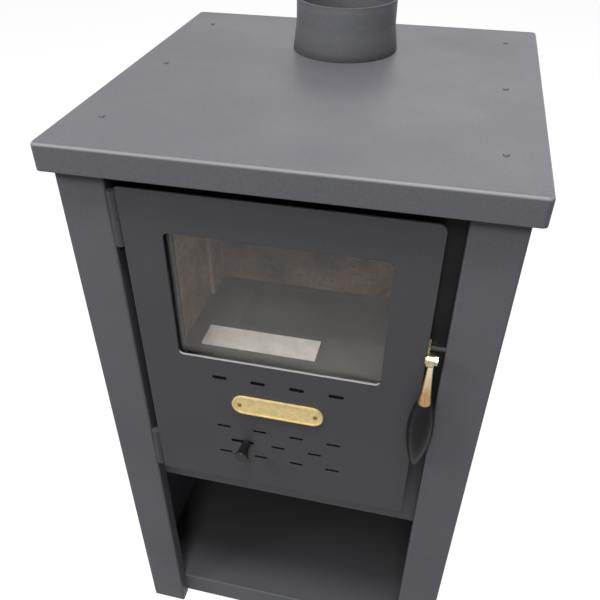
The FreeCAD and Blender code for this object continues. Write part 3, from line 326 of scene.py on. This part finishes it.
def painted_steel(name, colour, rough, edge_wear_and_highlight=0.25, softness=EDGE_SOFTNESS):
    """Satin stove paint: fine flakes, faint clouds, a little orange peel, and edges made lighter as a
    painted highlight with a little scuffing.
    """
    material, tree, shader = new_material(name)
    where = place_on(tree)
    clouds = noise(tree, where, CLOUDS)
    flakes = noise(tree, where, FLAKES)
    mottle = noise(tree, where, MOTTLE)
    peel = noise(tree, where, ORANGE_PEEL)
    soft_edge = add(tree, "ShaderNodeBevel", samples=EDGE_SAMPLES, Radius=softness).outputs["Normal"]
    face = add(tree, "ShaderNodeNewGeometry").outputs["Normal"]
    flatness = add(tree, "ShaderNodeVectorMath", operation="DOT_PRODUCT")
    connect(tree, flatness.inputs[0], soft_edge)
    connect(tree, flatness.inputs[1], face)
    # Edges lighter than the faces: a painted highlight, with a little scuffing.
    rubbed_and_highlit = spread(tree, flatness.outputs["Value"], edge_wear_and_highlight, 0, *RUBBED_AND_HIGHLIT_EDGE_SHARES)
    base = mixed(tree, spread(tree, clouds, low=0, high=0.16), colour, shaded(colour, CLOUD_SHARE))
    base = mixed(tree, spread(tree, flakes, low=0, high=0.16), base, shaded(colour, FLAKE_SHARE))
    base = mixed(tree, spread(tree, mottle, low=0, high=0.30), base, shaded(colour, MOTTLE_SHARE))
    base = mixed(tree, rubbed_and_highlit, base, shaded(colour, RUBBED_AND_HIGHLIGHT_SHARE))
    roughness = spread(tree, clouds, low=rough - PAINT_SMOOTHER, high=rough + PAINT_ROUGHER)
    fill(tree, shader, Base_Color=base, Roughness=roughness, Metallic=0.05, Specular_IOR_Level=0.13)
    relief(tree, shader, peel, depth=0.00012, strength=0.35, normal=soft_edge)
    return material


def door_steel(name, colour, rough):
    """The stove paint, with painted shade on the cut faces of the air slots and a painted highlight on the
    sill under the window.
    """
    material = painted_steel(name, colour, rough, edge_wear_and_highlight=0.6)
    tree = material.node_tree
    facing = facing_of(tree)
    spot = spot_on(tree)
    off_middle = computed(tree, "ABSOLUTE", spot["X"])
    to_front_or_back = computed(tree, "ABSOLUTE", facing["Y"])
    # Painted shade: the cut faces among the air slots are laid over in black.
    cut_face = spread(tree, to_front_or_back, 1, 0, *TURNED_SHARES)
    below_window = spread(tree, spot["Z"], 1, 0, SLOTS_TOP, SLOTS_TOP + SLOTS_FADE)
    beside_slots = spread(tree, off_middle, 1, 0, SLOTS_REACH, SLOTS_REACH + SLOTS_FADE)
    among_slots = computed(tree, "MULTIPLY", below_window, beside_slots)
    lay_over(material, computed(tree, "MULTIPLY", cut_face, among_slots), BLACK)
    # Painted highlight: the upward face of the sill under the window is laid over in light grey.
    facing_up = spread(tree, facing["Z"], 0, 1, *TURNED_SHARES)
    at_window = computed(tree, "COMPARE", spot["Z"], WINDOW_MIDDLE, WINDOW_REACH)
    in_window = spread(tree, off_middle, 1, 0, WINDOW_SIDE, WINDOW_SIDE + SLOTS_FADE)
    sill = computed(tree, "MULTIPLY", facing_up, at_window)
    lay_over(material, computed(tree, "MULTIPLY", sill, in_window), SILL_HIGHLIGHT)
    return material


def top_steel(name, colour, rough):
    """The stove paint, with a painted highlight along the bends of the top plate."""
    material = painted_steel(name, colour, rough)
    tree = material.node_tree
    # Painted highlight: faces turned between the skirt and level get a lighter paint.
    upward = facing_of(tree)["Z"]
    past_skirt = spread(tree, upward, 0, 1, *PAST_SKIRT_SHARES)
    short_of_level = spread(tree, upward, 1, 0, *NEAR_LEVEL_SHARES)
    lay_over(material, computed(tree, "MULTIPLY", past_skirt, short_of_level), BEND_HIGHLIGHT_PAINT)
    return material


def collar_steel(name, colour, rough):
    """The stove paint on the swaged collar, darker towards its foot: heat dulling, and painted shade where
    it meets the top plate.
    """
    material = painted_steel(name, colour, rough, edge_wear_and_highlight=0, softness=COLLAR_SOFTNESS)
    tree = material.node_tree
    # Heat dulling and painted shade: darker paint laid over towards the collar's foot.
    dulled_and_shaded = spread(tree, spot_on(tree)["Z"], DULLED_AND_SHADED_SHARE, 0, COLLAR_FOOT, COLLAR_TOP)
    lay_over(material, dulled_and_shaded, INNER_PAINT)
    return material


def recess_shaded_front_steel(name, colour, rough):
    """The stove paint, with painted shade in the recess beside the door and plain in the strip below it.
    """
    material = painted_steel(name, colour, rough)
    tree = material.node_tree
    # Painted shade: the front plate is near-black above the door's foot.
    shade_beside_door = spread(tree, spot_on(tree)["Z"], 0, 1, DOOR_FOOT, DOOR_FOOT + RECESS_SHADE_FADE)
    lay_over(material, shade_beside_door, RECESS_SHADE_PAINT)
    return material


def tray_steel(name, colour, rough):
    """The stove paint on the lips, and a darker floor with painted shade deepening towards the back of the
    store.
    """
    material = painted_steel(name, colour, rough)
    tree = material.node_tree
    level = spread(tree, facing_of(tree)["Z"], 0, 1, *LEVEL_SHARES)
    # Painted shade: the floor's front colour gives way to the darker inner paint towards the back.
    clear_of_painted_shade = spread(tree, spot_on(tree)["Y"], 1, 0, FLOOR_SHADE_START, FLOOR_SHADE_FULL)
    lay_over(material, level, mixed(tree, clear_of_painted_shade, INNER_PAINT, TRAY_FLOOR))
    return material


# Finishes of the fire's pieces


def sooty_brick(name, colour, dark):
    """Pale fired clay with darker smoke stains, pores and a rough face."""
    material, tree, shader = new_material(name)
    where = place_on(tree)
    stains = noise(tree, where, SMOKE_STAINS)
    pores = noise(tree, where, CLAY_PORES)
    base = mixed(tree, spread(tree, stains, low=0, high=1, start=0.35, stop=0.72), colour, dark)
    in_pores = spread(tree, pores, low=0, high=0.5, start=0.5, stop=0.75)
    base = mixed(tree, in_pores, base, shaded(dark, PORE_SHARE))
    fill(tree, shader, Base_Color=base, Roughness=0.92, Specular_IOR_Level=0.2)
    relief(tree, shader, pores, depth=0.0006, strength=0.3)
    return material


def cast_iron(name, colour, dust):
    """Raw casting with a sandy face and pale ash lying in patches."""
    material, tree, shader = new_material(name)
    where = place_on(tree)
    patches = noise(tree, where, ASH_PATCHES)
    sand = noise(tree, where, SAND)
    base = mixed(tree, spread(tree, patches, low=0, high=dust, start=0.4, stop=0.75), colour, ASH)
    base = mixed(tree, spread(tree, sand, low=0, high=0.2), base, shaded(colour, SAND_SHARE))
    roughness = spread(tree, patches, low=0.62, high=0.85)
    fill(tree, shader, Base_Color=base, Roughness=roughness, Metallic=0.2)
    relief(tree, shader, sand, depth=0.0004, strength=0.2)
    return material


def pale_ceramic(name):
    """Matt pale tile with a grey bloom and small pits."""
    material, tree, shader = new_material(name)
    where = place_on(tree)
    bloom = noise(tree, where, TILE_CLOUDS)
    pits = noise(tree, where, TILE_PITS)
    base = mixed(tree, spread(tree, bloom, low=0, high=0.6), PALE_TILE, TILE_GREY)
    base = mixed(tree, spread(tree, pits, low=0, high=0.35, start=0.5, stop=0.75), base, TILE_PIT)
    fill(tree, shader, Base_Color=base, Roughness=0.8)
    relief(tree, shader, pits, depth=0.0003, strength=0.5)
    return material


# Finishes of the fittings, the seal and the glass


def brass(name, colour, dark, rough, age, metal, along):
    """Brass with a dark bloom and fine marks along one axis; metal is the share of it that mirrors."""
    material, tree, shader = new_material(name)
    bloom = noise(tree, place_on(tree), BRASS_BLOOM)
    marks = noise(tree, place_on(tree, along), RUB_MARKS)
    base = mixed(tree, spread(tree, bloom, low=0, high=age, start=0.42, stop=0.72), colour, dark)
    base = mixed(tree, spread(tree, marks, low=0, high=age, start=0.42, stop=0.62), base, dark)
    roughness = spread(tree, marks, low=rough, high=rough + BRASS_ROUGHER)
    fill(tree, shader, Base_Color=base, Roughness=roughness, Metallic=metal)
    relief(tree, shader, bloom, depth=0.0002, strength=0.12)
    return material


def ferrule_brass(name):
    """The handle's brass, coppery at the grip and paler towards the pivot as a painted highlight."""
    material = brass(name, COPPER_BRASS, BRASS_DARK, rough=0.20, age=0.75, metal=0.75, along=UPRIGHT)
    tree = material.node_tree
    # Painted highlight: paler brass laid over towards the pivot.
    lay_over(material, spread(tree, spot_on(tree)["Z"], 0, 1, HIGHLIGHT_FOOT, HIGHLIGHT_TOP), PAINTED_HIGHLIGHT_BRASS)
    return material


def bright_steel(name, colour, rough):
    """Zinc-plated steel, faintly brushed and clouded."""
    material, tree, shader = new_material(name)
    clouds = noise(tree, place_on(tree), ZINC_CLOUDS)
    brushed = noise(tree, place_on(tree, BRUSHED), BRUSH_MARKS)
    base = mixed(tree, spread(tree, clouds, low=0, high=0.45), colour, shaded(colour, ZINC_CLOUD_SHARE))
    roughness = spread(tree, brushed, low=rough, high=rough + STEEL_ROUGHER)
    fill(tree, shader, Base_Color=base, Roughness=roughness, Metallic=1.0)
    relief(tree, shader, brushed, depth=0.00008, strength=0.25)
    return material


def black_resin(name, rough, coat, gloss):
    """Moulded black resin with a soft skin and a few fine marks."""
    material, tree, shader = new_material(name)
    where = place_on(tree)
    marks = noise(tree, where, RESIN_MARKS)
    skin = noise(tree, where, RESIN_SKIN)
    base = mixed(tree, spread(tree, marks, low=0, high=0.5), BLACK, BLACK_RUBBED)
    roughness = spread(tree, marks, low=rough, high=rough + RESIN_ROUGHER)
    fill(tree, shader, Base_Color=base, Roughness=roughness, Specular_IOR_Level=gloss,
         Coat_Weight=coat, Coat_Roughness=0.12)
    relief(tree, shader, skin, depth=0.00005, strength=0.08)
    return material


def woven_fibre(name, colour):
    """Glass-fibre yarn with stray lighter threads."""
    material, tree, shader = new_material(name)
    where = place_on(tree)
    yarn = noise(tree, where, YARN)
    tufts = noise(tree, where, TUFTS)
    base = mixed(tree, spread(tree, yarn, low=0, high=0.7), colour, shaded(colour, THREAD_SHARE))
    base = mixed(tree, spread(tree, tufts, low=0, high=0.5), base, shaded(colour, TUFT_SHARE))
    fill(tree, shader, Base_Color=base, Roughness=0.95, Sheen_Weight=0.3)
    relief(tree, shader, yarn, depth=0.0003, strength=0.7)
    return material


def clear_glass(name):
    """Clear heat-proof glass, which lets the lamps shine into the firebox."""
    material, tree, shader = new_material(name)
    fill(tree, shader, Base_Color=GLASS, Roughness=0, Transmission_Weight=1, IOR=GLASS_INDEX,
         Specular_Tint=GLASS_GLINT)
    rays = add(tree, "ShaderNodeLightPath")
    clear = add(tree, "ShaderNodeBsdfTransparent", Color=GLASS_SHADE)
    choice = add(tree, "ShaderNodeMixShader", Fac=rays.outputs["Is Shadow Ray"])
    tree.links.new(shader.outputs["BSDF"], choice.inputs[1])
    tree.links.new(clear.outputs["BSDF"], choice.inputs[2])
    tree.links.new(choice.outputs["Shader"], tree.nodes["Material Output"].inputs["Surface"])
    return material


def dress(material, *names):
    """Gives CAD nodes their finish."""
    for name in names:
        nodes[name].data.materials.clear()
        nodes[name].data.materials.append(material)


dress(top_steel("top_steel", PAINT, rough=0.44), "top_plate")
dress(collar_steel("collar_steel", PAINT, rough=0.44), "flue_collar")
dress(painted_steel("paint", PAINT, rough=0.44),
      "top_rivets", "left_side_panel", "right_side_panel", "rear_panel", "left_top_rail", "right_top_rail")
dress(painted_steel("door_paint", DOOR_PAINT, rough=0.50, edge_wear_and_highlight=0.35),
      "upper_door_knuckle", "lower_door_knuckle", "upper_frame_knuckle", "lower_frame_knuckle")
dress(recess_shaded_front_steel("recess_shaded_front_steel", FRONT_PAINT, rough=0.50), "front_plate")
dress(door_steel("door_steel", DOOR_PAINT, rough=0.50), "door_panel")
dress(tray_steel("tray_steel", PAINT, rough=0.50), "base_tray")
dress(painted_steel("inner_paint", INNER_PAINT, rough=0.55, edge_wear_and_highlight=0.1),
      "store_ceiling", "seal_channel", "latch_keeper")
dress(painted_steel("soot_paint", SOOT, rough=0.75, edge_wear_and_highlight=0),
      "firebox_bottom", "firebox_left_wall", "firebox_right_wall", "firebox_back", "left_hearth_rail",
      "right_hearth_rail", "air_slide")
dress(sooty_brick("firebrick", FIREBRICK, FIREBRICK_DARK),
      "left_liner", "right_liner", "left_corner_liner", "right_corner_liner")
dress(sooty_brick("back_brick", FIREBRICK_DARK, FIREBRICK_SMOKED), "rear_liner", "baffle")
dress(cast_iron("hearth_iron", HEARTH, dust=0.35), "hearth_plate")
dress(cast_iron("insert_iron", IRON, dust=0.30), "hearth_insert")
dress(pale_ceramic("pale_tile"), "hearth_tile")
dress(brass("plate_brass", BRASS, BRASS_DARK, rough=0.34, age=0.3, metal=0.15, along=ACROSS), "name_plate")
# The plate's rivets in dark brass: painted shade of the holes round them.
dress(brass("rivet_brass", BRASS_DARK, SOOT, rough=0.30, age=0.5, metal=0.8, along=ACROSS),
      "name_plate_rivets")
dress(ferrule_brass("ferrule_brass"), "handle_ferrule")
dress(bright_steel("yellow_zinc", YELLOW_ZINC, rough=0.20), "latch_lever", "pivot_bolt", "handle_bracket")
dress(bright_steel("bright_steel", STEEL, rough=0.22),
      "pivot_nut", "air_stem", "upper_hinge_pin", "lower_hinge_pin")
dress(bright_steel("dull_steel", DULL_STEEL, rough=0.42),
      "ash_pan", "glass_clips", "clip_screws", "slide_guides")
dress(black_resin("grip_resin", rough=0.20, coat=0, gloss=0.08), "handle_grip")
dress(black_resin("knob_resin", rough=0.10, coat=0.28, gloss=0.13), "air_knob")
dress(clear_glass("door_glass"), "door_glass")


# Rope seal and glass tape


def finish_piece(mesh, name, material, body, node):
    """Makes a piece of a bmesh, puts it in a CAD node's place and lets it move with that node's body."""
    data = bpy.data.meshes.new(name)
    mesh.to_mesh(data)
    mesh.free()
    for face in data.polygons:
        face.use_smooth = True
    piece = bpy.data.objects.new(name, data)
    bpy.context.scene.collection.objects.link(piece)
    data.materials.append(material)
    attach(piece, body)
    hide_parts(node)
    return piece


def ring_path(low, high, corner, step):
    """Even points round a rounded rectangle in X and Z."""
    centres = ((high.x - corner, high.z - corner), (low.x + corner, high.z - corner),
               (low.x + corner, low.z + corner), (high.x - corner, low.z + corner))
    dense = []
    for quarter, (x, z) in enumerate(centres):
        for i in range(CORNER_STEPS + 1):
            angle = math.pi / 2 * (quarter + i / CORNER_STEPS)
            dense.append(Vector((x + corner * math.cos(angle), 0, z + corner * math.sin(angle))))
    dense.append(dense[0].copy())
    lengths = [0.0]
    for first, second in zip(dense, dense[1:]):
        lengths.append(lengths[-1] + (second - first).length)
    count = round(lengths[-1] / step)
    points = []
    k = 0
    for i in range(count):
        goal = lengths[-1] * i / count
        while lengths[k + 1] < goal:
            k += 1
        share = (goal - lengths[k]) / max(lengths[k + 1] - lengths[k], TINY_LENGTH)
        points.append(dense[k].lerp(dense[k + 1], share))
    return points


def braided_rope():
    """Round braid: two sets of yarns that cross, swept along the seal's ring."""
    low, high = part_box("door_seal")
    radius = (high.y - low.y) / 2
    middle_y = (high.y + low.y) / 2
    inset = Vector((radius, 0, radius))
    points = ring_path(low + inset, high - inset, ROPE_CORNER, ROPE_STEP)
    total = len(points)
    turns = round(total * ROPE_STEP / ROPE_LAY)
    mesh = bmesh.new()
    rings = []
    for i, point in enumerate(points):
        travel = (points[(i + 1) % total] - points[i - 1]).normalized()
        outward = Vector((travel.z, 0, -travel.x))
        twist = turns * 2 * math.pi * i / total
        ring = []
        for j in range(ROPE_SIDES):
            angle = 2 * math.pi * j / ROPE_SIDES
            over = abs(math.cos((ROPE_BRAIDS * angle + twist) / 2))
            under = abs(math.cos((ROPE_BRAIDS * angle - twist) / 2))
            reach = radius * (1 - ROPE_RELIEF_SHARE * (1 - max(over, under)))
            spot = point + outward * (reach * math.cos(angle)) + Vector((0, reach * math.sin(angle), 0))
            ring.append(mesh.verts.new(spot + Vector((0, middle_y, 0))))
        rings.append(ring)
    for i in range(total):
        here, after = rings[i], rings[(i + 1) % total]
        for j in range(ROPE_SIDES):
            k = (j + 1) % ROPE_SIDES
            mesh.faces.new((here[j], after[j], after[k], here[k]))
    bmesh.ops.recalc_face_normals(mesh, faces=mesh.faces)
    return finish_piece(mesh, "braided_rope", woven_fibre("rope_fibre", ROPE), "door", "door_seal")


def glass_tape():
    """Flat woven tape between the glass and the door plate, with soft edges."""
    low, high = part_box("glass_gasket")
    mesh = bmesh.new()
    corners = [(low.x, low.z), (high.x, low.z), (high.x, high.z), (low.x, high.z)]
    inner = [(low.x + TAPE_WIDTH, low.z + TAPE_WIDTH), (high.x - TAPE_WIDTH, low.z + TAPE_WIDTH),
             (high.x - TAPE_WIDTH, high.z - TAPE_WIDTH), (low.x + TAPE_WIDTH, high.z - TAPE_WIDTH)]
    layers = {}
    for label, outline in (("outer", corners), ("inner", inner)):
        for depth in (low.y, high.y):
            layers[label, depth] = [mesh.verts.new((x, depth, z)) for x, z in outline]
    for i in range(len(corners)):
        k = (i + 1) % len(corners)
        for depth in (low.y, high.y):
            outer, inside = layers["outer", depth], layers["inner", depth]
            mesh.faces.new((outer[i], outer[k], inside[k], inside[i]))
        for label in ("outer", "inner"):
            front, back = layers[label, low.y], layers[label, high.y]
            mesh.faces.new((front[i], front[k], back[k], back[i]))
    bmesh.ops.recalc_face_normals(mesh, faces=mesh.faces)
    bmesh.ops.bevel(mesh, geom=mesh.edges[:], offset=TAPE_EDGE, segments=TAPE_EDGE_STEPS, affect="EDGES",
                    profile=0.5)
    return finish_piece(mesh, "glass_tape", woven_fibre("tape_fibre", ROPE), "door", "glass_gasket")


braided_rope()
glass_tape()


# Studio


def looked_at(tree):
    """One for rays that show the studio itself: the camera's, and those sent on by gloss or glass."""
    rays = add(tree, "ShaderNodeLightPath").outputs
    direct = computed(tree, "MAXIMUM", rays["Is Camera Ray"], rays["Is Transmission Ray"])
    return computed(tree, "MAXIMUM", direct, rays["Is Glossy Ray"])


def studio_floor():
    """Pale floor that shows white round the stove and keeps its soft shadow."""
    half = FLOOR_HALF
    corners = [(-half, -half, 0), (half, -half, 0), (half, half, 0), (-half, half, 0)]
    mesh = bpy.data.meshes.new("floor")
    mesh.from_pydata(corners, [], [(0, 1, 2, 3)])
    floor = bpy.data.objects.new("floor", mesh)
    bpy.context.scene.collection.objects.link(floor)
    material, tree, shader = new_material("floor")
    fill(tree, shader, Base_Color=FLOOR, Roughness=0.9, Specular_IOR_Level=0,
         Emission_Color=FLOOR_GLOW, Emission_Strength=looked_at(tree))
    mesh.materials.append(material)


def studio_world():
    """Even pale surroundings, white where the camera, gloss or glass looks straight at them."""
    world = bpy.data.worlds.new("studio")
    bpy.context.scene.world = world
    world.use_nodes = True
    tree = world.node_tree
    tree.nodes.clear()
    ambient = add(tree, "ShaderNodeBackground", Color=SKY, Strength=SKY_STRENGTH)
    plain = add(tree, "ShaderNodeBackground", Color=WHITE, Strength=1)
    choice = add(tree, "ShaderNodeMixShader", Fac=looked_at(tree))
    tree.links.new(ambient.outputs["Background"], choice.inputs[1])
    tree.links.new(plain.outputs["Background"], choice.inputs[2])
    output = add(tree, "ShaderNodeOutputWorld")
    tree.links.new(choice.outputs["Shader"], output.inputs["Surface"])


def studio_lamp(lamp):
    """A soft rectangular lamp that points at its target."""
    data = bpy.data.lights.new(lamp.name, "AREA")
    data.shape = "RECTANGLE"
    data.size = lamp.width
    data.size_y = lamp.depth
    data.energy = lamp.power
    light = bpy.data.objects.new(lamp.name, data)
    bpy.context.scene.collection.objects.link(light)
    light.location = lamp.place
    direction = Vector(lamp.target) - Vector(lamp.place)
    light.rotation_euler = direction.to_track_quat("-Z", "Y").to_euler()


def photo_camera():
    """Camera with the photograph's place, direction and framing."""
    forward = Vector((math.sin(CAMERA_YAW) * math.cos(CAMERA_PITCH),
                      math.cos(CAMERA_YAW) * math.cos(CAMERA_PITCH), math.sin(CAMERA_PITCH)))
    right = Vector((math.cos(CAMERA_YAW), -math.sin(CAMERA_YAW), 0))
    up = right.cross(forward)
    turned_right = math.cos(CAMERA_ROLL) * right + math.sin(CAMERA_ROLL) * up
    turned_up = math.cos(CAMERA_ROLL) * up - math.sin(CAMERA_ROLL) * right
    data = bpy.data.cameras.new("photo_camera")
    data.sensor_width = SENSOR_WIDTH
    data.lens = CAMERA_LENS
    data.shift_x, data.shift_y = CAMERA_SHIFT
    camera = bpy.data.objects.new("photo_camera", data)
    bpy.context.scene.collection.objects.link(camera)
    axes = Matrix((turned_right, turned_up, -forward)).transposed()
    camera.matrix_world = Matrix.Translation(CAMERA_PLACE) @ axes.to_4x4()
    bpy.context.scene.camera = camera


studio_floor()
studio_world()
for lamp in LAMPS:
    studio_lamp(lamp)
photo_camera()
bpy.context.scene.view_settings.view_transform = "Standard"
